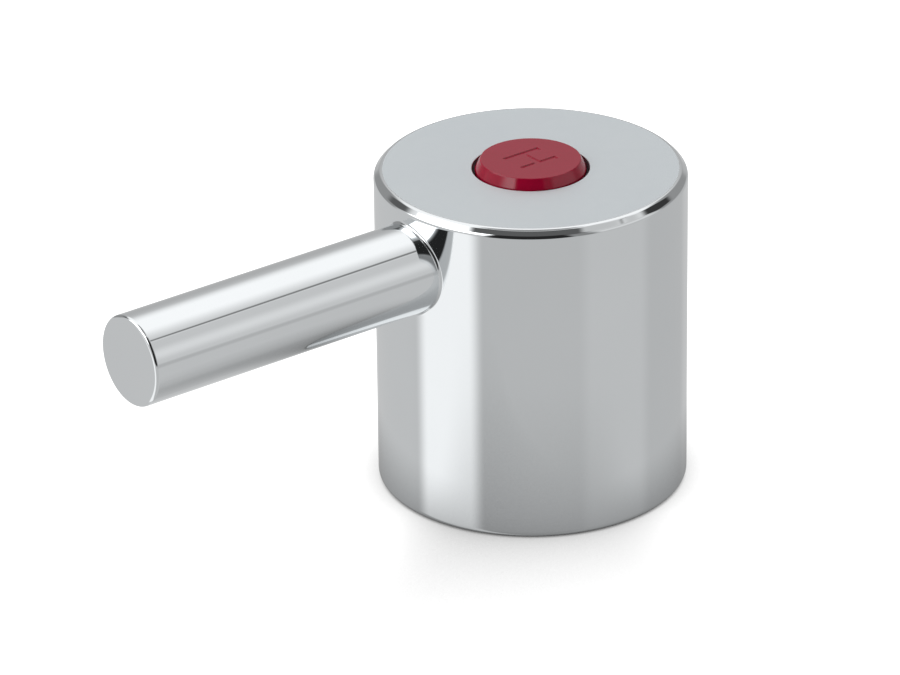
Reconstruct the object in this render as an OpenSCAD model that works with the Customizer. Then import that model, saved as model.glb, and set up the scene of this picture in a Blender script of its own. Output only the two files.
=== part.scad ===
// Tap knob: a round chromed body with a bar lever and a red cap on the hot side.
// Millimetres, +Z up. The origin is on the spindle axis, level with the foot of the skirt.
// The lever points along -X.

/* [Body] */
// Outside diameter of the round body
body_d = 44; // [40:0.5:56]
// Height of the body, from its foot to its flat top
body_h = 47; // [44:0.5:60]
// Thickness of the skirt where its mouth is bored out
mouth_wall = 2.6; // [2:0.1:3.4]
// Depth of the bored mouth
mouth_depth = 15; // [10:0.5:15]
// How much thicker the cast skirt is above the bored mouth
cast_step = 0.4; // [0.2:0.1:0.8]
// Thickness of the top plate
top_wall = 3.2; // [2.4:0.1:4.5]
// Width and height of the bevel round the top
top_bevel = 0.9; // [0.3:0.1:1.4]
// Radius of the rounded outer edge at the foot
foot_round = 1; // [0.3:0.1:1.5]
// Radius of the inner corner between skirt and top plate
inner_round = 1.8; // [0.5:0.1:3]

/* [Lever] */
// Diameter of the bar
lever_d = 13; // [10:0.25:14.5]
// How far the bar stands out of the body
lever_out = 46.9; // [30:0.1:70]
// Depth of the bar's axis below the top of the body
lever_drop = 9.1; // [8.8:0.1:12]
// Radius of the rounded edge at the bar's end
tip_round = 0.5; // [0.2:0.1:1.5]
// Radius of the hollow corner where the bar meets the body
root_round = 0.5; // [0.3:0.1:0.9]

/* [Cap pocket and screw well] */
// Diameter of the pocket that the cap sits in
pocket_d = 16.7; // [15.5:0.1:18]
// Depth of the pocket
pocket_depth = 2.2; // [1.4:0.1:3]
// Diameter of the well for the screw head, below the pocket
well_d = 12; // [11:0.1:13.5]
// Depth of the well below the pocket's floor
well_depth = 10.3; // [9.8:0.1:12]
// Thickness of the web that the screw clamps
web_t = 3.5; // [2.5:0.1:5]
// Diameter of the screw hole through the web
screw_hole_d = 5.4; // [5.2:0.1:6]

/* [Hub] */
// Thickness of the hub round the spline insert
hub_wall = 3; // [2.4:0.1:4]
// Number of ribs between hub and skirt
rib_count = 4; // [3:1:6]
// Thickness of a rib
rib_t = 2; // [1.4:0.1:3]
// Thickness of the rib behind the lever
lever_rib_t = 5; // [2:0.1:8]
// How far the ribs stop above the hub's foot, at the hub
rib_lift = 4; // [2:0.5:6]
// How much higher they stop at the skirt
rib_rise = 7; // [2:0.5:8]

/* [Spline insert] */
// Outside diameter of the insert
insert_d = 13; // [12:0.1:14]
// Depth of the hub's bore for the insert
socket_depth = 13; // [11:0.5:14]
// Diameter of the flange at the insert's mouth
flange_d = 16; // [15:0.1:18]
// Thickness of the flange
flange_t = 1.2; // [0.8:0.1:2]
// Number of teeth
tooth_count = 20; // [16:1:24]
// Diameter over the roots of the teeth
spline_root_d = 8.3; // [8:0.05:9]
// Height of a tooth
tooth_h = 0.4; // [0.3:0.05:0.6]
// Height of the countersink at the mouth
mouth_bevel = 0.8; // [0.4:0.1:1.2]
// Number of keys that stop the insert from turning in the hub
key_count = 4; // [2:1:6]
// Width of a key
key_w = 2; // [1:0.1:3]
// Height of a key
key_h = 0.8; // [0.4:0.1:1.2]
// Clearance round the insert and its keys
insert_gap = 0.05; // [0.02:0.01:0.1]

/* [Retaining screw and washer] */
// Diameter of the screw's shank
screw_d = 4.9; // [4:0.1:5]
// Length of the shank
screw_len = 12; // [9:0.5:14]
// Diameter of the head
head_d = 8.5; // [7.5:0.1:9.5]
// Height of the head
head_h = 3.3; // [2.4:0.1:3.6]
// Width of the cross in the head
cross_w = 1.2; // [0.8:0.1:1.6]
// Length of the cross's arms, from end to end
cross_len = 5; // [3.5:0.1:6]
// Depth of the cross
cross_depth = 1.8; // [1:0.1:2]
// Outside diameter of the spring washer
washer_d = 9.2; // [8.6:0.1:10.5]
// Thickness of the washer
washer_t = 1.2; // [0.8:0.1:1.4]
// Width of the washer's slit
washer_slit = 0.9; // [0.5:0.1:1.5]

/* [Indicator cap] */
// Gap round the cap in its pocket
cap_gap = 0.55; // [0.2:0.05:0.8]
// How far the cap stands above the body's top
cap_proud = 1.35; // [0.8:0.05:2.5]
// How far the cap's side leans in towards its top
cap_lean = 0.75; // [0.3:0.05:1.5]
// Thickness of the cap's roof
cap_roof = 1.9; // [1.2:0.1:2.4]
// Length of the plug below the pocket's floor
plug_len = 5; // [4:0.1:5.4]
// Gap round the plug in the well
plug_gap = 0.25; // [0.1:0.05:0.4]
// Thickness of the plug's wall behind the ring groove
plug_wall = 1.3; // [1:0.1:1.8]

/* [Cap ring] */
// Thickness of the rubber ring as fitted
ring_t = 1.3; // [1:0.1:1.6]
// Spare height of the groove over the ring
groove_spare = 0.4; // [0.2:0.1:0.8]
// Height of the plug's lip below the groove
groove_lip = 1; // [0.6:0.1:1.4]

/* [Hidden] */
$fn = 96;

body_r = body_d / 2;
mouth_r = body_r - mouth_wall;
cavity_r = mouth_r - cast_step;
cavity_top = body_h - top_wall;
lever_r = lever_d / 2;
lever_z = body_h - lever_drop;

pocket_floor = body_h - pocket_depth;
well_r = well_d / 2;
well_floor = pocket_floor - well_depth;
socket_top = well_floor - web_t;
hub_foot = socket_top - socket_depth;
hub_r = insert_d / 2 + insert_gap + hub_wall;

washer_top = well_floor + washer_t;
cap_r = pocket_d / 2 - cap_gap;
cap_top = body_h + cap_proud;
plug_r = well_r - plug_gap;
plug_foot = pocket_floor - plug_len;
groove_r = well_r - ring_t;
groove_h = ring_t + groove_spare;
groove_z = plug_foot + groove_lip;
ring_z = groove_z + groove_h / 2;

// Cuts run past the faces that they open by this much
past = 1;
// Depth by which the corner ring's back sinks into the lever and the body
sink = 0.12;
// Half the width of a spline tooth's tip, and where its root starts, as shares of a tooth's pitch
tip_half = 0.11;
root_start = 0.31;
// Steps round the lever, and places across the corner, of the corner ring
ring_steps = 60;
corner_places = [0.14, 0.38, 0.62, 0.86];

// Outside of the body as a solid, with its bevel and its rounded foot
module body_blank() {
    rotate_extrude() difference() {
        square([body_r, body_h]);
        polygon([
            [body_r - top_bevel, body_h + top_bevel],
            [body_r - top_bevel, body_h],
            [body_r, body_h - top_bevel],
            [body_r + top_bevel, body_h - top_bevel],
            [body_r + top_bevel, body_h + top_bevel]
        ]);
        difference() {
            translate([body_r - foot_round, -past]) square([foot_round + past, foot_round + past]);
            translate([body_r - foot_round, foot_round]) circle(r = foot_round);
        }
    }
}

// Round bar from the body's axis out to its end, with the end's edge rounded
module lever_bar() {
    length = body_r + lever_out;
    translate([0, 0, lever_z]) rotate([0, -90, 0]) rotate_extrude() union() {
        square([lever_r, length - tip_round]);
        square([lever_r - tip_round, length]);
        translate([lever_r - tip_round, length - tip_round]) circle(r = tip_round);
    }
}

// Centre of a ball that rests in the corner between lever and body, at angle a round the lever
function ball_centre(a) =
    let (y = (lever_r + root_round) * sin(a))
    [-sqrt(pow(body_r + root_round, 2) - y * y), y, lever_z + (lever_r + root_round) * cos(a)];

// Directions from that centre to the lever and to the body
function to_lever(a) = [0, -sin(a), -cos(a)];
function to_body(a) = let (c = ball_centre(a)) [-c.x, -c.y, 0] / (body_r + root_round);

// Point of the ball's surface, from the lever (0) to the body (1)
function ball_point(a, place) =
    let (u = to_lever(a), v = to_body(a), bend = acos(u * v))
    ball_centre(a)
        + root_round * (sin((1 - place) * bend) * u + sin(place * bend) * v) / sin(bend);

// Outline of the corner ring at angle a: the hollow face, and a back sunk in lever and body
function corner_section(a) =
    let (c = ball_centre(a), u = to_lever(a), v = to_body(a), deep = root_round + sink)
    concat(
        [c + deep * u],
        [for (place = corner_places) ball_point(a, place)],
        [c + deep * v, c + (deep + sink) * (u + v)]
    );

// Ring that rounds the corner between lever and body
module root_corner() {
    sections = [for (i = [0:ring_steps - 1]) corner_section(i * 360 / ring_steps)];
    n = len(sections[0]);
    points = [for (section = sections) each section];
    faces = [
        for (i = [0:ring_steps - 1], j = [0:n - 1])
            let (
                a = i * n + j,
                b = i * n + (j + 1) % n,
                c = (i + 1) % ring_steps * n + (j + 1) % n,
                d = (i + 1) % ring_steps * n + j
            )
            each [[a, b, c], [a, c, d]]
    ];
    polyhedron(points, faces, convexity = 4);
}

// Hollow of the skirt, with its bored mouth and its rounded inner corner
module cavity() {
    rotate_extrude() union() {
        translate([0, -past]) square([mouth_r, mouth_depth + past]);
        square([cavity_r, cavity_top - inner_round]);
        square([cavity_r - inner_round, cavity_top]);
        translate([cavity_r - inner_round, cavity_top - inner_round]) circle(r = inner_round);
    }
}

// One rib in the plane through the axis, its foot rising from the hub to the skirt
module rib(thickness) {
    foot = hub_foot + rib_lift;
    reach = cavity_r + mouth_wall / 2;
    rotate([90, 0, 0]) translate([0, 0, -thickness / 2]) linear_extrude(thickness) polygon([
        [0, foot],
        [hub_r, foot],
        [reach, foot + rib_rise],
        [reach, cavity_top + top_wall / 2],
        [0, cavity_top + top_wall / 2]
    ]);
}

// Hub and ribs inside the skirt; the first rib is the thick one behind the lever
module hub_and_ribs() {
    translate([0, 0, hub_foot]) cylinder(r = hub_r, h = cavity_top + top_wall / 2 - hub_foot);
    for (i = [0:rib_count - 1])
        rotate(180 + i * 360 / rib_count) rib(i == 0 ? lever_rib_t : rib_t);
}

// Everything cut down the axis: cap pocket, screw well, screw hole and insert socket
module axis_cuts() {
    translate([0, 0, pocket_floor]) cylinder(d = pocket_d, h = pocket_depth + past);
    translate([0, 0, well_floor]) cylinder(r = well_r, h = well_depth + past);
    translate([0, 0, socket_top - past]) cylinder(d = screw_hole_d, h = web_t + 2 * past);
    translate([0, 0, hub_foot - past])
        cylinder(r = insert_d / 2 + insert_gap, h = socket_depth + past);
    insert_keys(insert_gap, hub_foot - past, socket_top);
}

// Keys on the insert, or the slots for them where grow is the clearance
module insert_keys(grow, from, to) {
    for (i = [0:key_count - 1])
        rotate(45 + i * 360 / key_count) translate([0, -key_w / 2 - grow, from])
            cube([insert_d / 2 + key_h + grow, key_w + 2 * grow, to - from]);
}

// Cast body: skirt, top, lever, hub and ribs in one piece
module handle_body() {
    color([0.80, 0.82, 0.84]) difference() {
        union() {
            difference() {
                union() {
                    body_blank();
                    lever_bar();
                    root_corner();
                }
                cavity();
            }
            hub_and_ribs();
        }
        axis_cuts();
    }
}

// Outline of the spline hole: straight-sided teeth that point inwards
function spline_outline() =
    let (
        root_r = spline_root_d / 2,
        tip_r = root_r - tooth_h,
        corners = [[-tip_half, tip_r], [tip_half, tip_r], [root_start, root_r], [1 - root_start, root_r]]
    )
    [
        for (i = [0:tooth_count - 1], corner = corners)
            let (a = (i + corner[0]) * 360 / tooth_count)
            corner[1] * [cos(a), sin(a)]
    ];

// Moulded insert that grips the valve spindle
module spline_insert() {
    foot = hub_foot - flange_t;
    length = socket_top - foot;
    rim_r = spline_root_d / 2 + mouth_bevel / 2;
    color([0.90, 0.89, 0.85]) difference() {
        union() {
            translate([0, 0, foot]) cylinder(d = flange_d, h = flange_t);
            translate([0, 0, foot]) cylinder(d = insert_d, h = length);
            insert_keys(0, hub_foot - flange_t / 2, socket_top);
        }
        translate([0, 0, foot - past]) linear_extrude(length + 2 * past) polygon(spline_outline());
        translate([0, 0, foot])
            cylinder(r1 = rim_r, r2 = rim_r - mouth_bevel, h = mouth_bevel);
    }
}

// Cross-head screw that holds the knob on the spindle
module retaining_screw() {
    head_top = washer_top + head_h;
    color([0.75, 0.75, 0.72]) difference() {
        union() {
            translate([0, 0, washer_top]) cylinder(d = head_d, h = head_h);
            translate([0, 0, washer_top - screw_len])
                cylinder(d = screw_d, h = screw_len + head_h / 2);
        }
        for (turn = [0, 90])
            rotate(turn) translate([-cross_len / 2, -cross_w / 2, head_top - cross_depth])
                cube([cross_len, cross_w, cross_depth + past]);
    }
}

// Split spring washer under the screw head
module spring_washer() {
    color([0.62, 0.63, 0.65]) translate([0, 0, well_floor]) difference() {
        cylinder(d = washer_d, h = washer_t);
        translate([0, 0, -past]) cylinder(d = screw_hole_d, h = washer_t + 2 * past);
        translate([0, -washer_slit / 2, -past])
            cube([washer_d, washer_slit, washer_t + 2 * past]);
    }
}

// Rubber ring that grips the well and holds the cap in
module cap_ring() {
    color([0.10, 0.10, 0.10]) translate([0, 0, ring_z]) rotate_extrude()
        translate([well_r - ring_t / 2, 0]) circle(d = ring_t);
}

// Moulded cap: a bevelled button on a hollow plug with a ring groove
module indicator_cap() {
    color([0.62, 0.10, 0.16]) difference() {
        union() {
            translate([0, 0, pocket_floor]) cylinder(r = cap_r, h = pocket_depth);
            translate([0, 0, body_h]) cylinder(r1 = cap_r, r2 = cap_r - cap_lean, h = cap_proud);
            translate([0, 0, plug_foot]) cylinder(r = plug_r, h = plug_len + pocket_depth);
        }
        translate([0, 0, groove_z]) difference() {
            cylinder(r = plug_r + past, h = groove_h);
            translate([0, 0, -past]) cylinder(r = groove_r, h = groove_h + 2 * past);
        }
        translate([0, 0, plug_foot - past])
            cylinder(r = groove_r - plug_wall, h = cap_top - cap_roof - plug_foot + past);
    }
}

handle_body();
spline_insert();
retaining_screw();
spring_washer();
cap_ring();
indicator_cap();
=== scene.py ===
"""Looks of the tap knob: a chromed body with a bar lever, and a red cap with a sunk H for hot."""

from math import atan2, cos, pi, radians, sin, sqrt, tan

import bmesh
import bpy
import numpy as np
from mathutils import Matrix, Vector


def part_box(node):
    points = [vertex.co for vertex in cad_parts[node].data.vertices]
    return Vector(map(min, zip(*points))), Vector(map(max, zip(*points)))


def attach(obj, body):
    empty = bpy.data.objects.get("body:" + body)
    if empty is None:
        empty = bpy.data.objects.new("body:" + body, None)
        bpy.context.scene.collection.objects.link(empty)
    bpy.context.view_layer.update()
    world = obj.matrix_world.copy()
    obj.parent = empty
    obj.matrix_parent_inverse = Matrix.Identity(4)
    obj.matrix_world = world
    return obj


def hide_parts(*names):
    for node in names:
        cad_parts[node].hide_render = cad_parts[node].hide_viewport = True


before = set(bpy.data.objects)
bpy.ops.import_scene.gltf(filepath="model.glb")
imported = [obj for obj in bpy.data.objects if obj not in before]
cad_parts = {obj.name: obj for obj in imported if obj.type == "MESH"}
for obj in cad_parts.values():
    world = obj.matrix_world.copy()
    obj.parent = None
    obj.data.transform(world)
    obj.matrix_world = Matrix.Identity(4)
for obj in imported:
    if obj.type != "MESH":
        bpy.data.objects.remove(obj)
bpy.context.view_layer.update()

MM = 0.001

# Body and lever: the first three come from the handle body in model.glb
BODY_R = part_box("handle_body")[1].x
BODY_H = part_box("handle_body")[1].z
LEVER_TIP = -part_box("handle_body")[0].x
MOUTH_R = 19.4 * MM
MOUTH_DEPTH = 15 * MM
CAVITY_R = 19.0 * MM
CAVITY_TOP = BODY_H - 3.2 * MM
INNER_ROUND = 1.8 * MM
TOP_BEVEL = 0.93 * MM
FOOT_ROUND = 1.0 * MM
BEVEL_LOW_ROUND = 0.8 * MM
BEVEL_HIGH_ROUND = 0.8 * MM
RIM_ROUND = 0.1 * MM
MOUTH_ROUND = 0.15 * MM
LEVER_R = 6.45 * MM
LEVER_Z = BODY_H - 9.15 * MM
TIP_ROUND = 0.5 * MM
ROOT_ROUND = 0.5 * MM

# Hub and the cuts down the axis
POCKET_R = 8.25 * MM
POCKET_FLOOR = BODY_H - 2.2 * MM
WELL_R = 6.0 * MM
WELL_FLOOR = POCKET_FLOOR - 10.3 * MM
SCREW_HOLE_R = 2.7 * MM
SOCKET_R = 6.55 * MM
SOCKET_TOP = WELL_FLOOR - 3.5 * MM
HUB_FOOT = SOCKET_TOP - 13 * MM
HUB_R = 9.55 * MM
RIB_COUNT = 4
RIB_T = 2 * MM
LEVER_RIB_T = 5 * MM
RIB_FOOT_AT_HUB = HUB_FOOT + 4 * MM
RIB_FOOT_AT_SKIRT = HUB_FOOT + 11 * MM
KEY_COUNT = 4
KEY_W = 2.1 * MM
KEY_REACH = 7.35 * MM

# Cap
CAP_R = 7.8 * MM
CAP_TOP = BODY_H + 1.35 * MM
CAP_LEAN = 0.75 * MM
CAP_EDGE_ROUND = 0.22 * MM
CAP_ROOF = 1.9 * MM
PLUG_R = 5.75 * MM
PLUG_FOOT = POCKET_FLOOR - 5 * MM
PLUG_BORE_R = 3.4 * MM
GROOVE_R = 4.7 * MM
GROOVE_FOOT = PLUG_FOOT + 1 * MM
GROOVE_TOP = GROOVE_FOOT + 1.7 * MM

# The sunk H, whose stems run along the lever
MARK_HALF_LENGTH = 3.05 * MM
MARK_HALF_WIDTH = 2.4 * MM
MARK_STROKE = 0.94 * MM
MARK_DEPTH = 0.16 * MM
MARK_WALL = 0.05 * MM
MARK_MARGIN = 0.6 * MM

# The photograph's camera: where it looks, from which side, and its long lens
AIM = Vector((-9.80, 6.23, 21.30)) * MM
VIEW_AZIMUTH = radians(-37.61)
VIEW_ELEVATION = radians(25.45)
VIEW_DISTANCE = 832.4 * MM
VIEW_ROLL = radians(-0.736)
LENS_MM = 235.6
SENSOR_MM = 36

# Brightness of the open floor as the camera sees it, beside the object and in front of it
FLOOR_LEVEL_SIDE = 1.55
FLOOR_LEVEL_FRONT = 1.25

# How far the object's shading reaches over the floor, beside it and in front of it
SIDE_SHADOW = 15 * MM
FRONT_SHADOW = 50 * MM

COLUMNS = 360
LEVER_COLUMNS = 192


class Skin:
    """Vertices with exact normals, and faces, collected patch by patch."""

    def __init__(self):
        self.points, self.normals, self.faces, self.looks = [], [], [], []

    def add(self, points, normals):
        """Adds a row of vertices and returns their numbers."""
        first = len(self.points)
        self.points.extend(points)
        self.normals.extend(normals)
        return list(range(first, len(self.points)))

    def face(self, corners, look=0):
        """Adds one face, turned so that it looks the way its vertices' normals do."""
        p = [self.points[i] for i in corners]
        out = np.cross(np.subtract(p[1], p[0]), np.subtract(p[2], p[0]))
        if len(corners) == 4:
            out = out + np.cross(np.subtract(p[2], p[0]), np.subtract(p[3], p[0]))
        if np.dot(out, np.sum([self.normals[i] for i in corners], axis=0)) < 0:
            corners = corners[::-1]
        self.faces.append(tuple(corners))
        self.looks.append(look)

    def strip(self, a, b, look=0, closed=True):
        """Adds the quads between two rows of the same length."""
        n = len(a)
        for i in range(n if closed else n - 1):
            j = (i + 1) % n
            self.face([a[i], a[j], b[j], b[i]], look)

    def fan(self, ring, centre, look=0):
        """Adds the triangles from a closed row to one vertex."""
        for i, a in enumerate(ring):
            self.face([a, ring[(i + 1) % len(ring)], centre], look)


def rounded_outline(corners, rounds, steps=6):
    """Outline through corners in (radius, height), each inner corner rounded. Returns (point, normal) pairs.
    The material is on the left of the way along it."""
    rows = []

    def right_of(direction):
        return np.array([direction[1], -direction[0]])

    pts = [np.array(c, float) for c in corners]
    ways = [(b - a) / np.linalg.norm(b - a) for a, b in zip(pts, pts[1:])]
    rows.append((pts[0], right_of(ways[0])))
    for corner, radius, way_in, way_out in zip(pts[1:-1], rounds, ways, ways[1:]):
        turn = atan2(way_in[0] * way_out[1] - way_in[1] * way_out[0], float(way_in @ way_out))
        reach = radius * abs(tan(turn / 2))
        side = 1 if turn > 0 else -1
        centre = corner - way_in * reach - side * radius * right_of(way_in)
        for k in range(steps + 1):
            a = turn * k / steps
            spun = np.array([[cos(a), -sin(a)], [sin(a), cos(a)]]) @ right_of(way_in)
            rows.append((centre + side * radius * spun, spun))
    rows.append((pts[-1], right_of(ways[-1])))
    return rows


def turned_row(skin, row, angles):
    """Adds one outline point turned round the Z axis. Angle 0 is on -X, and it grows towards +Y."""
    (r, z), (nr, nz) = row
    return skin.add(
        [(-r * cos(a), r * sin(a), z) for a in angles],
        [(-nr * cos(a), nr * sin(a), nz) for a in angles],
    )


def ball_centre(a):
    """Centre of a ball resting in the corner between lever and body, at angle a round the lever from +Z."""
    y = (LEVER_R + ROOT_ROUND) * sin(a)
    x = -sqrt((BODY_R + ROOT_ROUND) ** 2 - y * y)
    return np.array([x, y, LEVER_Z + (LEVER_R + ROOT_ROUND) * cos(a)])


def corner_row(skin, place):
    """Row of the hollow corner, from the body (place 0) to the lever (place 1)."""
    points, normals = [], []
    for i in range(LEVER_COLUMNS):
        a = 2 * pi * i / LEVER_COLUMNS
        c = ball_centre(a)
        to_body = -np.array([c[0], c[1], 0]) / (BODY_R + ROOT_ROUND)
        to_lever = np.array([0, -sin(a), -cos(a)])
        bend = np.arccos(to_body @ to_lever)
        way = (sin((1 - place) * bend) * to_body + sin(place * bend) * to_lever) / sin(bend)
        points.append(tuple(c + ROOT_ROUND * way))
        normals.append(tuple(-way))
    return skin.add(points, normals)


CHROME, SATIN, CAST = 0, 1, 2


def outer_skin():
    """Polished outside of body and lever, from the end of the mouth's round to that of the pocket rim's."""
    skin = Skin()
    angles = [2 * pi * j / COLUMNS for j in range(COLUMNS)]
    wall_top = BODY_H - TOP_BEVEL
    outline = rounded_outline(
        [(MOUTH_R, 2 * MOUTH_ROUND), (MOUTH_R, 0), (BODY_R, 0), (BODY_R, wall_top),
         (BODY_R - TOP_BEVEL, BODY_H), (POCKET_R, BODY_H), (POCKET_R, BODY_H - 2 * RIM_ROUND)],
        [MOUTH_ROUND, FOOT_ROUND, BEVEL_LOW_ROUND, BEVEL_HIGH_ROUND, RIM_ROUND],
        steps=12,
    )[1:-1]
    # The wall is one straight step of the outline: its two ends are the rows around it
    below = [k for k, (p, n) in enumerate(outline) if p[1] < BODY_H / 2][-1]
    lower, upper = outline[: below + 1], outline[below + 1:]
    rows = [turned_row(skin, row, angles) for row in lower]
    for a, b in zip(rows, rows[1:]):
        skin.strip(a, b, CHROME)
    foot = rows[-1]

    # Window in the wall's grid for the lever: half its width in columns, and its rows
    half = 24
    window_rows = LEVER_COLUMNS // 2 - 2 * half
    window_top = wall_top - 0.5 * MM
    window_foot = 2 * LEVER_Z - window_top
    plain = 14
    heights = list(np.linspace(lower[-1][0][1], window_foot, plain + 1)[1:])
    heights += list(np.linspace(window_foot, window_top, window_rows + 1)[1:])
    grid = [foot] + [turned_row(skin, ((BODY_R, z), (1, 0)), angles) for z in heights]
    for k, (a, b) in enumerate(zip(grid, grid[1:])):
        for j in range(COLUMNS):
            turned = j if j < COLUMNS // 2 else j - COLUMNS
            if k >= plain and -half <= turned < half:
                continue
            m = (j + 1) % COLUMNS
            skin.face([a[j], a[m], b[m], b[j]], CHROME)

    # Border of the window, clockwise from its top as the lever's angle runs
    top_row, foot_row = plain + window_rows, plain
    border = [(top_row, j) for j in range(half)]
    border += [(top_row - k, half) for k in range(window_rows)]
    border += [(foot_row, half - j) for j in range(2 * half)]
    border += [(foot_row + k, -half) for k in range(window_rows)]
    border += [(top_row, -half + j) for j in range(half)]
    edge = [grid[k][j % COLUMNS] for k, j in border]
    hole = corner_row(skin, 0)
    previous, steps = edge, 6
    for s in range(1, steps):
        t = (s / steps) ** 0.8
        points = []
        for e, h in zip(edge, hole):
            (ex, ey, ez), (hx, hy, hz) = skin.points[e], skin.points[h]
            turn = (1 - t) * atan2(ey, -ex) + t * atan2(hy, -hx)
            points.append((-BODY_R * cos(turn), BODY_R * sin(turn), (1 - t) * ez + t * hz))
        row = skin.add(points, [(x / BODY_R, y / BODY_R, 0) for x, y, z in points])
        skin.strip(previous, row, CHROME)
        previous = row
    skin.strip(previous, hole, CHROME)

    # Hollow corner, then the bar out to its end
    previous, corner_steps = hole, 10
    for k in range(1, corner_steps + 1):
        row = corner_row(skin, k / corner_steps)
        skin.strip(previous, row, CHROME)
        previous = row
    round_lever = [2 * pi * i / LEVER_COLUMNS for i in range(LEVER_COLUMNS)]
    root = [skin.points[i][0] for i in previous]

    def lever_row(xs, radius, out):
        """Row round the bar at places xs; out is how far its normal leans towards the tip, 0 to 1."""
        side = sqrt(max(0, 1 - out * out))
        return skin.add(
            [(x, radius * sin(a), LEVER_Z + radius * cos(a)) for x, a in zip(xs, round_lever)],
            [(-out, side * sin(a), side * cos(a)) for a in round_lever],
        )

    straight_from = -(BODY_R + 2.5 * MM)
    for t in (0.25, 0.5, 0.75, 1):
        row = lever_row([(1 - t) * x + t * straight_from for x in root], LEVER_R, 0)
        skin.strip(previous, row, CHROME)
        previous = row
    for x in np.linspace(straight_from, -(LEVER_TIP - TIP_ROUND), 19)[1:]:
        row = lever_row([x] * LEVER_COLUMNS, LEVER_R, 0)
        skin.strip(previous, row, CHROME)
        previous = row
    tip_steps = 8
    for k in range(1, tip_steps + 1):
        a = pi / 2 * k / tip_steps
        x = -(LEVER_TIP - TIP_ROUND + TIP_ROUND * sin(a))
        row = lever_row([x] * LEVER_COLUMNS, LEVER_R - TIP_ROUND + TIP_ROUND * cos(a), sin(a))
        skin.strip(previous, row, CHROME)
        previous = row
    for share in (0.7, 0.4, 0.12):
        row = lever_row([-LEVER_TIP] * LEVER_COLUMNS, (LEVER_R - TIP_ROUND) * share, 1)
        skin.strip(previous, row, CHROME)
        previous = row
    skin.fan(previous, skin.add([(-LEVER_TIP, 0, LEVER_Z)], [(-1, 0, 0)])[0], CHROME)

    # From the wall over the bevel and the flat top down to the pocket
    rows = [grid[-1]] + [turned_row(skin, row, angles) for row in upper]
    for k, (a, b) in enumerate(zip(rows, rows[1:])):
        flat = abs(skin.normals[a[0]][2] - 1) < 1e-6 and abs(skin.normals[b[0]][2] - 1) < 1e-6
        skin.strip(a, b, SATIN if flat else CHROME)
    return skin


def new_object(name, mesh):
    piece = bpy.data.objects.new(name, mesh)
    bpy.context.scene.collection.objects.link(piece)
    return piece


def turned_solid(name, outline):
    """Closed solid of revolution through (radius, height) points, which start and end on the axis."""
    points, faces, rings = [], [], []
    for r, z in outline:
        first = len(points)
        if r == 0:
            points.append((0, 0, z))
            rings.append([first] * COLUMNS)
        else:
            turns = [2 * pi * j / COLUMNS for j in range(COLUMNS)]
            points += [(-r * cos(a), r * sin(a), z) for a in turns]
            rings.append(list(range(first, first + COLUMNS)))
    for a, b in zip(rings, rings[1:]):
        for j in range(COLUMNS):
            m = (j + 1) % COLUMNS
            faces.append(tuple(dict.fromkeys((a[j], a[m], b[m], b[j]))))
    mesh = bpy.data.meshes.new(name)
    mesh.from_pydata(points, [], faces)
    bm = bmesh.new()
    bm.from_mesh(mesh)
    bmesh.ops.recalc_face_normals(bm, faces=bm.faces)
    bm.to_mesh(mesh)
    bm.free()
    return new_object(name, mesh)


def slab(name, outline, thickness, turn):
    """Flat slab: an outline in (distance from the axis, height), stood up at that turn from -X."""
    half = thickness / 2
    points = [(-r, side * half, z) for side in (-1, 1) for r, z in outline]
    n = len(outline)
    faces = [tuple(range(n)), tuple(range(2 * n - 1, n - 1, -1))]
    faces += [(i, i + n, (i + 1) % n + n, (i + 1) % n) for i in range(n)]
    mesh = bpy.data.meshes.new(name)
    mesh.from_pydata([tuple(Matrix.Rotation(turn, 3, "Z") @ Vector(p)) for p in points], [], faces)
    bm = bmesh.new()
    bm.from_mesh(mesh)
    bmesh.ops.recalc_face_normals(bm, faces=bm.faces)
    bm.to_mesh(mesh)
    bm.free()
    return new_object(name, mesh)


def combine(target, tools, operation):
    """Applies one boolean after another to target and removes the tools."""
    for tool in tools:
        step = target.modifiers.new(operation, "BOOLEAN")
        step.operation = operation
        step.solver = "EXACT"
        step.object = tool
    seen = target.evaluated_get(bpy.context.evaluated_depsgraph_get())
    made = bpy.data.meshes.new_from_object(seen)
    target.modifiers.clear()
    old = target.data
    target.data = made
    bpy.data.meshes.remove(old)
    for tool in tools:
        mesh = tool.data
        bpy.data.objects.remove(tool)
        bpy.data.meshes.remove(mesh)


def arc(centre_r, centre_z, radius, start, end, steps=6):
    turns = [start + (end - start) * k / steps for k in range(steps + 1)]
    return [(centre_r + radius * cos(a), centre_z + radius * sin(a)) for a in turns]


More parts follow.
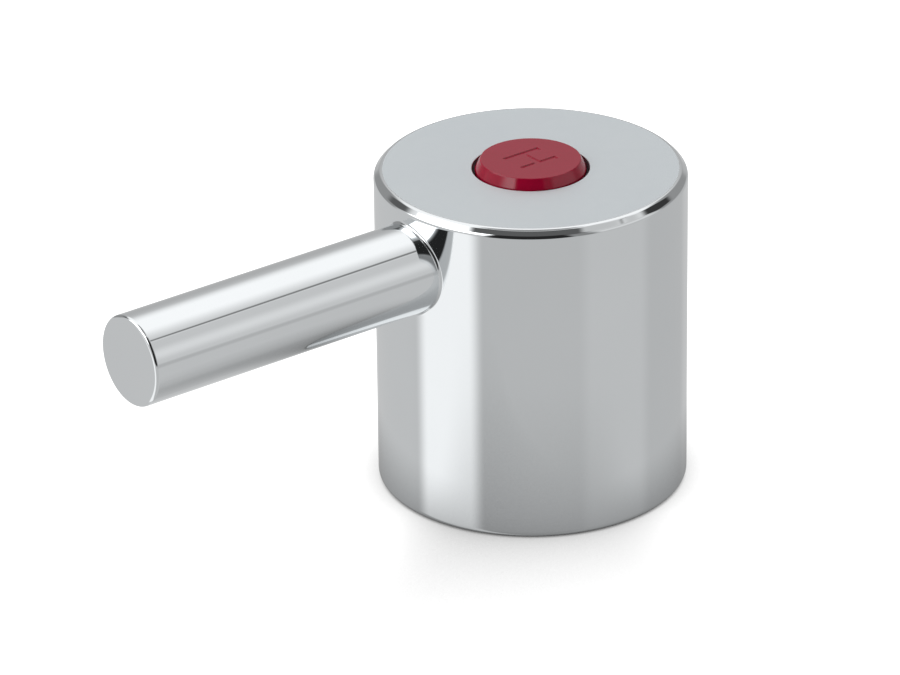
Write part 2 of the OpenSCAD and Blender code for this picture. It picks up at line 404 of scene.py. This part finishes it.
def inner_skin():
    """Inside of the casting: skirt, top plate, hub, ribs and the cuts down the axis.
    It is open where the outer skin joins."""
    past = 1 * MM
    blank_r = (CAVITY_R + BODY_R) / 2
    low, high = MOUTH_ROUND, BODY_H - RIM_ROUND
    core = turned_solid("core", [(0, low), (blank_r, low), (blank_r, high), (0, high)])
    cavity = turned_solid("cavity", [
        (0, -past), (MOUTH_R, -past), (MOUTH_R, MOUTH_DEPTH), (CAVITY_R, MOUTH_DEPTH),
        *arc(CAVITY_R - INNER_ROUND, CAVITY_TOP - INNER_ROUND, INNER_ROUND, 0, pi / 2), (0, CAVITY_TOP)])
    combine(core, [cavity], "DIFFERENCE")
    into_top = CAVITY_TOP + past
    hub = turned_solid("hub", [(0, HUB_FOOT), (HUB_R, HUB_FOOT), (HUB_R, into_top), (0, into_top)])
    reach = CAVITY_R + 0.5 * MM
    rib = [(HUB_R / 2, RIB_FOOT_AT_HUB), (HUB_R, RIB_FOOT_AT_HUB), (reach, RIB_FOOT_AT_SKIRT),
           (reach, into_top), (HUB_R / 2, into_top)]
    ribs = [
        slab(f"rib{i}", rib, LEVER_RIB_T if i == 0 else RIB_T, 2 * pi * i / RIB_COUNT)
        for i in range(RIB_COUNT)
    ]
    combine(core, [hub, *ribs], "UNION")
    cuts = turned_solid("cuts", [
        (0, HUB_FOOT - past), (SOCKET_R, HUB_FOOT - past), (SOCKET_R, SOCKET_TOP),
        (SCREW_HOLE_R, SOCKET_TOP), (SCREW_HOLE_R, WELL_FLOOR), (WELL_R, WELL_FLOOR),
        (WELL_R, POCKET_FLOOR), (POCKET_R, POCKET_FLOOR),
        (POCKET_R, BODY_H + past), (0, BODY_H + past)])
    slot = [(0, HUB_FOOT - past), (KEY_REACH, HUB_FOOT - past), (KEY_REACH, SOCKET_TOP), (0, SOCKET_TOP)]
    slots = [slab(f"slot{i}", slot, KEY_W, 2 * pi * (i + 0.5) / KEY_COUNT) for i in range(KEY_COUNT)]
    combine(core, [cuts, *slots], "DIFFERENCE")

    bm = bmesh.new()
    bm.from_mesh(core.data)
    near = 0.01 * MM
    spare = []
    for f in bm.faces:
        radius = [sqrt(v.co.x ** 2 + v.co.y ** 2) for v in f.verts]
        height = [v.co.z for v in f.verts]
        on_wall = min(radius) > blank_r - near
        on_foot = max(height) < low + near and min(radius) > MOUTH_R - near
        on_top = min(height) > high - near and min(radius) > POCKET_R - near
        if on_wall or on_foot or on_top:
            spare.append(f)
    bmesh.ops.delete(bm, geom=spare, context="FACES")
    bmesh.ops.remove_doubles(bm, verts=bm.verts, dist=near)
    bm.to_mesh(core.data)
    bm.free()
    mesh = core.data
    mesh.polygons.foreach_set("use_smooth", [True] * len(mesh.polygons))
    mesh.set_sharp_from_angle(angle=radians(25))
    bpy.data.objects.remove(core)
    return mesh


def make_mesh(name, points, faces, looks, corner_normals):
    mesh = bpy.data.meshes.new(name)
    mesh.from_pydata(points, [], faces)
    mesh.polygons.foreach_set("material_index", looks)
    mesh.polygons.foreach_set("use_smooth", [True] * len(faces))
    mesh.normals_split_custom_set(corner_normals)
    mesh.update()
    return mesh


def shared_place(x, y, z, near):
    """Where a point lies on the two circles that outer and inner skin share: its column and whether it is
    at the pocket. None for any other point."""
    r = sqrt(x * x + y * y)
    on_mouth = abs(z - MOUTH_ROUND) < near and abs(r - MOUTH_R) < near
    on_pocket = abs(z - BODY_H + RIM_ROUND) < near and abs(r - POCKET_R) < near
    if not (on_mouth or on_pocket):
        return None
    return round(atan2(y, -x) / (2 * pi) * COLUMNS) % COLUMNS, on_pocket


def handle_piece():
    """The whole casting as one closed mesh: the outer skin with the inner one joined on."""
    skin = outer_skin()
    inside = inner_skin()
    points, faces, looks = list(skin.points), list(skin.faces), list(skin.looks)
    corner_normals = [skin.normals[i] for f in skin.faces for i in f]
    # An inner vertex on one of the two shared edges takes the outer skin's vertex
    shared = {shared_place(*point, 0.001 * MM): i for i, point in enumerate(skin.points)}
    number = []
    for v in inside.vertices:
        place = shared_place(*v.co, 0.01 * MM)
        if place:
            number.append(shared[place])
        else:
            number.append(len(points))
            points.append(tuple(v.co))
    normals = [tuple(n.vector) for n in inside.corner_normals]
    for f in inside.polygons:
        faces.append(tuple(number[v] for v in f.vertices))
        looks.append(CAST)
        corner_normals += [normals[k] for k in f.loop_indices]
    return new_object("knob_body", make_mesh("knob_body", points, faces, looks, corner_normals))


def mark_depth(x, y):
    """How far the top is sunk at a point, from 0 to 1: the H is two stems and a bar between them."""
    def inside(value, half):
        t = np.clip((half - abs(value)) / (2 * MARK_WALL) + 0.5, 0, 1)
        return t * t * (3 - 2 * t)

    half_stroke = MARK_STROKE / 2
    stem_y = MARK_HALF_WIDTH - half_stroke
    stem = inside(x, MARK_HALF_LENGTH) * inside(abs(y) - stem_y, half_stroke)
    bar = inside(x, half_stroke) * inside(y, stem_y)
    return max(stem, bar)


def lines_through(edges, half, step):
    """Grid lines from -half to half: close together over each edge of the mark, wide apart elsewhere."""
    close = [k * MARK_WALL / 3 for k in range(-3, 4)]
    lines = sorted({round(e * s + d, 9) for e in edges for s in (-1, 1) for d in close} | {-half, half})
    filled = [lines[0]]
    for a, b in zip(lines, lines[1:]):
        n = max(1, int(np.ceil((b - a) / step)))
        filled += [a + (b - a) * k / n for k in range(1, n + 1)]
    return filled


def cap_piece():
    """The red cap with its plug, its bevelled side and the H sunk in its top."""
    skin = Skin()
    half_x = MARK_HALF_LENGTH + MARK_MARGIN
    half_y = MARK_HALF_WIDTH + MARK_MARGIN
    half_stroke = MARK_STROKE / 2
    xs = lines_through([MARK_HALF_LENGTH, half_stroke], half_x, 0.2 * MM)
    ys = lines_through([MARK_HALF_WIDTH, MARK_HALF_WIDTH - MARK_STROKE], half_y, 0.2 * MM)

    def slope(x, y):
        """Normal of the sunk top, from the differences of its depth."""
        d = 0.002 * MM
        dx = (mark_depth(x + d, y) - mark_depth(x - d, y)) * MARK_DEPTH / (2 * d)
        dy = (mark_depth(x, y + d) - mark_depth(x, y - d)) * MARK_DEPTH / (2 * d)
        n = Vector((dx, dy, 1)).normalized()
        return tuple(n)

    grid = [
        skin.add([(x, y, CAP_TOP - MARK_DEPTH * mark_depth(x, y)) for x in xs], [slope(x, y) for x in xs])
        for y in ys
    ]
    for a, b in zip(grid, grid[1:]):
        skin.strip(a, b, closed=False)
    # Border of the grid, from the middle of its -X side towards +Y, as the turned rows run
    nx, ny = len(xs), len(ys)
    border = [(k, 0) for k in range(ny)] + [(ny - 1, j) for j in range(1, nx)]
    border += [(k, nx - 1) for k in range(ny - 2, -1, -1)] + [(0, j) for j in range(nx - 2, 0, -1)]
    start = min(range(len(border)), key=lambda i: abs(ys[border[i][0]]) + (1 if border[i][1] else 0))
    border = border[start:] + border[:start]
    edge = [grid[k][j] for k, j in border]
    even = [2 * pi * k / len(edge) for k in range(len(edge))]

    side_foot = POCKET_FLOOR
    outline = rounded_outline(
        [(0.55 * MM, CAP_TOP - CAP_ROOF), (PLUG_BORE_R, CAP_TOP - CAP_ROOF), (PLUG_BORE_R, PLUG_FOOT),
         (PLUG_R, PLUG_FOOT), (PLUG_R, GROOVE_FOOT), (GROOVE_R, GROOVE_FOOT), (GROOVE_R, GROOVE_TOP),
         (PLUG_R, GROOVE_TOP), (PLUG_R, side_foot), (CAP_R, side_foot), (CAP_R, BODY_H - 0.1 * MM),
         (CAP_R - CAP_LEAN, CAP_TOP), (CAP_R - CAP_LEAN - 1.2 * MM, CAP_TOP)],
        [0.2 * MM, 0.15 * MM, 0.2 * MM, 0.1 * MM, 0.1 * MM, 0.1 * MM, 0.1 * MM, 0.1 * MM, 0.15 * MM,
         0.3 * MM, CAP_EDGE_ROUND],
        steps=5,
    )[::-1]
    # The first turned row follows the border's own angles, and the next ones even out
    previous = edge
    for share in (0.35, 0.7):
        points = []
        for i, b in zip(edge, even):
            x, y, z = skin.points[i]
            r = share * outline[0][0][0]
            points.append(((1 - share) * x - r * cos(b), (1 - share) * y + r * sin(b), CAP_TOP))
        row = skin.add(points, [(0, 0, 1)] * len(points))
        skin.strip(previous, row)
        previous = row
    for row_at in outline:
        row = turned_row(skin, row_at, even)
        skin.strip(previous, row)
        previous = row
    skin.fan(previous, skin.add([(0, 0, CAP_TOP - CAP_ROOF)], [(0, 0, -1)])[0])
    normals = [skin.normals[i] for f in skin.faces for i in f]
    return new_object("red_cap", make_mesh("red_cap", skin.points, skin.faces, skin.looks, normals))


def principled(name, **sockets):
    """New material with a Principled shader; sockets are set as constants."""
    material = bpy.data.materials.new(name)
    material.use_nodes = True
    shader = material.node_tree.nodes["Principled BSDF"]
    for key, value in sockets.items():
        shader.inputs[key.replace("_", " ")].default_value = value
    return material, material.node_tree, shader


def add_node(tree, kind, **settings):
    node = tree.nodes.new(kind)
    for key, value in settings.items():
        if key in node.inputs:
            node.inputs[key].default_value = value
        else:
            setattr(node, key, value)
    return node


def noise_between(tree, scale, low, high, detail=3.0, stretch=(1, 1, 1)):
    """Noise on the object's own coordinates, spread from low to high."""
    place = add_node(tree, "ShaderNodeTexCoord")
    mapping = add_node(tree, "ShaderNodeMapping")
    mapping.inputs["Scale"].default_value = stretch
    noise = add_node(tree, "ShaderNodeTexNoise", Scale=scale, Detail=detail)
    spread = add_node(tree, "ShaderNodeMapRange")
    spread.inputs["From Min"].default_value = 0.3
    spread.inputs["From Max"].default_value = 0.7
    spread.inputs["To Min"].default_value = low
    spread.inputs["To Max"].default_value = high
    tree.links.new(place.outputs["Object"], mapping.inputs["Vector"])
    tree.links.new(mapping.outputs["Vector"], noise.inputs["Vector"])
    tree.links.new(noise.outputs["Fac"], spread.inputs["Value"])
    return spread.outputs["Result"]


def add_bump(tree, shader, height, strength, distance):
    bump = add_node(tree, "ShaderNodeBump")
    bump.inputs["Strength"].default_value = strength
    bump.inputs["Distance"].default_value = distance
    tree.links.new(height, bump.inputs["Height"])
    tree.links.new(bump.outputs["Normal"], shader.inputs["Normal"])


def colour_between(tree, shader, scale, low, high):
    """Base colour that drifts a little between two tones."""
    mix = add_node(tree, "ShaderNodeMix", data_type="RGBA")
    tree.links.new(noise_between(tree, scale, 0, 1), mix.inputs[0])
    mix.inputs[6].default_value = (*low, 1)
    mix.inputs[7].default_value = (*high, 1)
    tree.links.new(mix.outputs[2], shader.inputs["Base Color"])


def chrome_material():
    material, tree, shader = principled("polished_chrome", Metallic=1.0)
    colour_between(tree, shader, 60, (0.845, 0.87, 0.885), (0.86, 0.885, 0.90))
    tree.links.new(noise_between(tree, 90, 0.02, 0.04), shader.inputs["Roughness"])
    add_bump(tree, shader, noise_between(tree, 140, 0, 1), 0.01, 0.05 * MM)
    return material


def satin_material():
    material, tree, shader = principled("satin_chrome", Metallic=1.0)
    colour_between(tree, shader, 40, (0.77, 0.81, 0.835), (0.79, 0.83, 0.85))
    tree.links.new(noise_between(tree, 500, 0.58, 0.64), shader.inputs["Roughness"])
    add_bump(tree, shader, noise_between(tree, 3000, 0, 1), 0.05, 0.01 * MM)
    return material


def cast_material():
    material, tree, shader = principled("plated_casting", Metallic=1.0)
    colour_between(tree, shader, 150, (0.50, 0.51, 0.52), (0.60, 0.61, 0.62))
    tree.links.new(noise_between(tree, 300, 0.35, 0.55), shader.inputs["Roughness"])
    add_bump(tree, shader, noise_between(tree, 1500, 0, 1), 0.3, 0.05 * MM)
    return material


def red_material():
    material, tree, shader = principled("red_plastic", IOR=1.5)
    colour_between(tree, shader, 200, (0.39, 0.002, 0.028), (0.41, 0.003, 0.034))
    tree.links.new(noise_between(tree, 400, 0.06, 0.10), shader.inputs["Roughness"])
    add_bump(tree, shader, noise_between(tree, 900, 0, 1), 0.02, 0.02 * MM)
    return material


def plastic_material():
    material, tree, shader = principled("natural_plastic", Subsurface_Weight=0.1)
    colour_between(tree, shader, 200, (0.78, 0.76, 0.70), (0.82, 0.80, 0.74))
    tree.links.new(noise_between(tree, 600, 0.4, 0.5), shader.inputs["Roughness"])
    add_bump(tree, shader, noise_between(tree, 1500, 0, 1), 0.1, 0.03 * MM)
    return material


def steel_material(name, low, high):
    material, tree, shader = principled(name, Metallic=1.0)
    colour_between(tree, shader, 300, low, high)
    tree.links.new(noise_between(tree, 800, 0.25, 0.4), shader.inputs["Roughness"])
    add_bump(tree, shader, noise_between(tree, 2500, 0, 1), 0.1, 0.02 * MM)
    return material


def rubber_material():
    material, tree, shader = principled("black_rubber")
    colour_between(tree, shader, 300, (0.012, 0.012, 0.012), (0.02, 0.02, 0.02))
    tree.links.new(noise_between(tree, 900, 0.55, 0.7), shader.inputs["Roughness"])
    add_bump(tree, shader, noise_between(tree, 3000, 0, 1), 0.15, 0.02 * MM)
    return material


def dress(node, material):
    """Gives a CAD node its finish."""
    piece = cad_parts[node]
    piece.data.materials.clear()
    piece.data.materials.append(material)


def grey(value):
    return (value, value, value, 1)


# The studio round the object, as cards of even light. Azimuths are in degrees from the camera, to its right.
# Name, middle, half width and edge in azimuth, lowest and highest elevation and their edge, brightness.
TENT = 0.58
CARDS = [
    ("ceiling", 180, 200, 1, 36, 110, 24, 1.07),
    ("ceiling_right", 66, 38, 60, 47, 68, 5, 0.58),
    ("ceiling_front", -5, 59, 8, 40, 69, 5, 0.11),
    ("ceiling_top", 180, 200, 1, 72, 110, 6, 0.3),
    ("back_wall", 180, 34, 20, -60, 24, 24, 0.46),
    ("back_left", -134, 22, 10, -6, 35, 10, 0.30),
    ("back_left_gap", -121, 9, 8, 20, 34, 6, 0.11),
    ("back_right", 128, 25, 10, 2, 42, 10, 0.30),
    ("back_right_gap", 114.5, 10.8, 6, 22, 42, 6, 0.04),
    ("left_box", -70.5, 34.5, 5, 24, 55, 5, 2.6),
    ("right_wall", 72, 29, 12, 0, 47, 5, 0.61),
    ("right_wall_middle", 72, 24, 12, 20, 21, 32, 1.16),
    ("right_gap", 92, 6, 4, 47, 49.5, 1.6, 0.22),
    ("camera_side", -1, 32, 8, -6, 58, 8, 0.02),
    ("camera_side_edge", 38, 9, 10, -2, 46, 8, 0.25),
    ("floor", 180, 200, 1, -91, -4, 8, 0.565),
    ("floor_front", -2, 41, 12, -91, -4, 8, 0.52),
    ("floor_back_left", -128, 30, 16, -91, -4, 8, 0.575),
    ("floor_left", -66.5, 24, 13, -91, -4, 8, 1.01),
    ("floor_back_right", 120, 28, 14, -91, -4, 8, 0.503),
    ("floor_back", 181, 10, 22, -91, -16, 12, 0.72),
    ("horizon", 110, 92, 12, -7, 0, 5, 0.48),
]


def add_math(tree, operation, *values):
    """Math node whose inputs are numbers or sockets; returns its output."""
    node = add_node(tree, "ShaderNodeMath", operation=operation)
    for k, value in enumerate(values):
        if isinstance(value, (int, float)):
            node.inputs[k].default_value = value
        else:
            tree.links.new(value, node.inputs[k])
    return node.outputs[0]


def add_rise(tree, value, middle, width):
    """1 well above the middle and 0 well below it, or the other way where the width is negative."""
    node = add_node(tree, "ShaderNodeMapRange", interpolation_type="SMOOTHSTEP")
    tree.links.new(value, node.inputs["Value"])
    node.inputs["From Min"].default_value = middle - width / 2
    node.inputs["From Max"].default_value = middle + width / 2
    return node.outputs["Result"]


def studio_light(tree):
    """Brightness of the studio in each direction."""
    place = add_node(tree, "ShaderNodeTexCoord")

    def along(direction):
        node = add_node(tree, "ShaderNodeVectorMath", operation="DOT_PRODUCT")
        tree.links.new(place.outputs["Generated"], node.inputs[0])
        node.inputs[1].default_value = direction
        return node.outputs["Value"]

    elevation = add_math(tree, "ARCSINE", along((0, 0, 1)))
    front = Vector((sin(VIEW_AZIMUTH), -cos(VIEW_AZIMUTH), 0))
    right = Vector((cos(VIEW_AZIMUTH), sin(VIEW_AZIMUTH), 0))
    tent = add_node(tree, "ShaderNodeRGB")
    tent.outputs[0].default_value = grey(TENT)
    light = tent.outputs[0]
    for name, azimuth, half, edge, low, high, edge_up, value in CARDS:
        turn = radians(azimuth)
        facing = front * cos(turn) + right * sin(turn)
        beside = right * cos(turn) - front * sin(turn)
        off = add_math(tree, "ABSOLUTE", add_math(tree, "ARCTAN2", along(beside), along(facing)))
        across = add_rise(tree, off, radians(half), -radians(edge))
        above = add_rise(tree, elevation, radians(low), radians(edge_up))
        below = add_rise(tree, elevation, radians(high), -radians(edge_up))
        mask = add_math(tree, "MULTIPLY", across, add_math(tree, "MULTIPLY", above, below))
        mix = add_node(tree, "ShaderNodeMix", data_type="RGBA", label=name)
        tree.links.new(mask, mix.inputs[0])
        tree.links.new(light, mix.inputs[6])
        mix.inputs[7].default_value = grey(value)
        light = mix.outputs[2]
    return light


def studio_world():
    """World that lights the object with the studio; the camera itself sees plain white."""
    world = bpy.data.worlds.new("studio")
    bpy.context.scene.world = world
    world.use_nodes = True
    tree = world.node_tree
    tree.nodes.clear()
    out = add_node(tree, "ShaderNodeOutputWorld")
    studio = add_node(tree, "ShaderNodeBackground")
    tree.links.new(studio_light(tree), studio.inputs["Color"])
    white = add_node(tree, "ShaderNodeBackground")
    white.inputs["Color"].default_value = grey(1)
    path = add_node(tree, "ShaderNodeLightPath")
    swap = add_node(tree, "ShaderNodeMixShader")
    tree.links.new(path.outputs["Is Camera Ray"], swap.inputs[0])
    tree.links.new(studio.outputs[0], swap.inputs[1])
    tree.links.new(white.outputs[0], swap.inputs[2])
    tree.links.new(swap.outputs[0], out.inputs[0])


def floor_openness(tree):
    """How much of the studio a place on the floor sees, and how far it is in front of the object."""
    front = Vector((sin(VIEW_AZIMUTH), -cos(VIEW_AZIMUTH), 0))
    place = add_node(tree, "ShaderNodeTexCoord")
    away = add_node(tree, "ShaderNodeVectorMath", operation="NORMALIZE")
    facing = add_node(tree, "ShaderNodeVectorMath", operation="DOT_PRODUCT")
    facing.inputs[1].default_value = front
    tree.links.new(place.outputs["Object"], away.inputs[0])
    tree.links.new(away.outputs[0], facing.inputs[0])
    in_front = add_rise(tree, facing.outputs["Value"], 0.75, 0.4)
    near = add_node(tree, "ShaderNodeAmbientOcclusion", samples=8)
    near.inputs["Distance"].default_value = SIDE_SHADOW
    wide = add_node(tree, "ShaderNodeAmbientOcclusion", samples=8)
    wide.inputs["Distance"].default_value = FRONT_SHADOW
    mix = add_node(tree, "ShaderNodeMix", data_type="RGBA")
    tree.links.new(in_front, mix.inputs[0])
    tree.links.new(near.outputs["Color"], mix.inputs[6])
    tree.links.new(wide.outputs["Color"], mix.inputs[7])
    return mix.outputs[2], in_front


def floor_piece():
    """White floor with the object's contact shadow. Metal sees the studio's lower cards in it."""
    half = 3.0
    mesh = bpy.data.meshes.new("floor")
    depth = -0.02 * MM
    corners = [(-half, -half, depth), (half, -half, depth), (half, half, depth), (-half, half, depth)]
    mesh.from_pydata(corners, [], [(0, 1, 2, 3)])
    floor = new_object("floor", mesh)
    material = bpy.data.materials.new("pale_floor")
    material.use_nodes = True
    tree = material.node_tree
    tree.nodes.clear()
    out = add_node(tree, "ShaderNodeOutputMaterial")
    openness, in_front = floor_openness(tree)
    matt = add_node(tree, "ShaderNodeBsdfDiffuse")
    matt.inputs["Color"].default_value = grey(0.8)
    white = add_node(tree, "ShaderNodeEmission")
    level = add_math(tree, "MULTIPLY_ADD", in_front, FLOOR_LEVEL_FRONT - FLOOR_LEVEL_SIDE, FLOOR_LEVEL_SIDE)
    tree.links.new(level, white.inputs["Strength"])
    clear = add_node(tree, "ShaderNodeBsdfTransparent")
    path = add_node(tree, "ShaderNodeLightPath")
    by_metal = add_node(tree, "ShaderNodeMixShader")
    by_camera = add_node(tree, "ShaderNodeMixShader")
    tree.links.new(openness, white.inputs["Color"])
    tree.links.new(openness, clear.inputs["Color"])
    tree.links.new(path.outputs["Is Glossy Ray"], by_metal.inputs[0])
    tree.links.new(matt.outputs[0], by_metal.inputs[1])
    tree.links.new(clear.outputs[0], by_metal.inputs[2])
    tree.links.new(path.outputs["Is Camera Ray"], by_camera.inputs[0])
    tree.links.new(by_metal.outputs[0], by_camera.inputs[1])
    tree.links.new(white.outputs[0], by_camera.inputs[2])
    tree.links.new(by_camera.outputs[0], out.inputs[0])
    mesh.materials.append(material)


def photo_camera():
    data = bpy.data.cameras.new("camera")
    data.lens = LENS_MM
    data.sensor_width = SENSOR_MM
    data.sensor_fit = "HORIZONTAL"
    data.clip_start, data.clip_end = 0.05, 20
    camera = new_object("camera", data)
    a, e = VIEW_AZIMUTH, VIEW_ELEVATION
    back = Vector((sin(a) * cos(e), -cos(a) * cos(e), sin(e)))
    right = Vector((0, 0, 1)).cross(back).normalized()
    up = back.cross(right)
    turned_right = right * cos(VIEW_ROLL) + up * sin(VIEW_ROLL)
    turned_up = up * cos(VIEW_ROLL) - right * sin(VIEW_ROLL)
    matrix = Matrix((turned_right, turned_up, back)).transposed().to_4x4()
    matrix.translation = AIM + back * VIEW_DISTANCE
    camera.matrix_world = matrix
    bpy.context.scene.camera = camera


photo_camera()
studio_world()
floor_piece()

chrome, satin, cast = chrome_material(), satin_material(), cast_material()
body = handle_piece()
for finish in (chrome, satin, cast):
    body.data.materials.append(finish)
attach(body, "root")
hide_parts("handle_body")

cap = cap_piece()
cap.data.materials.append(red_material())
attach(cap, "root")
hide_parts("indicator_cap")

dress("spline_insert", plastic_material())
dress("retaining_screw", steel_material("plated_screw", (0.62, 0.61, 0.56), (0.70, 0.69, 0.64)))
dress("spring_washer", steel_material("spring_steel", (0.42, 0.43, 0.45), (0.50, 0.51, 0.53)))
dress("cap_ring", rubber_material())

bpy.context.scene.view_settings.view_transform = "Standard"
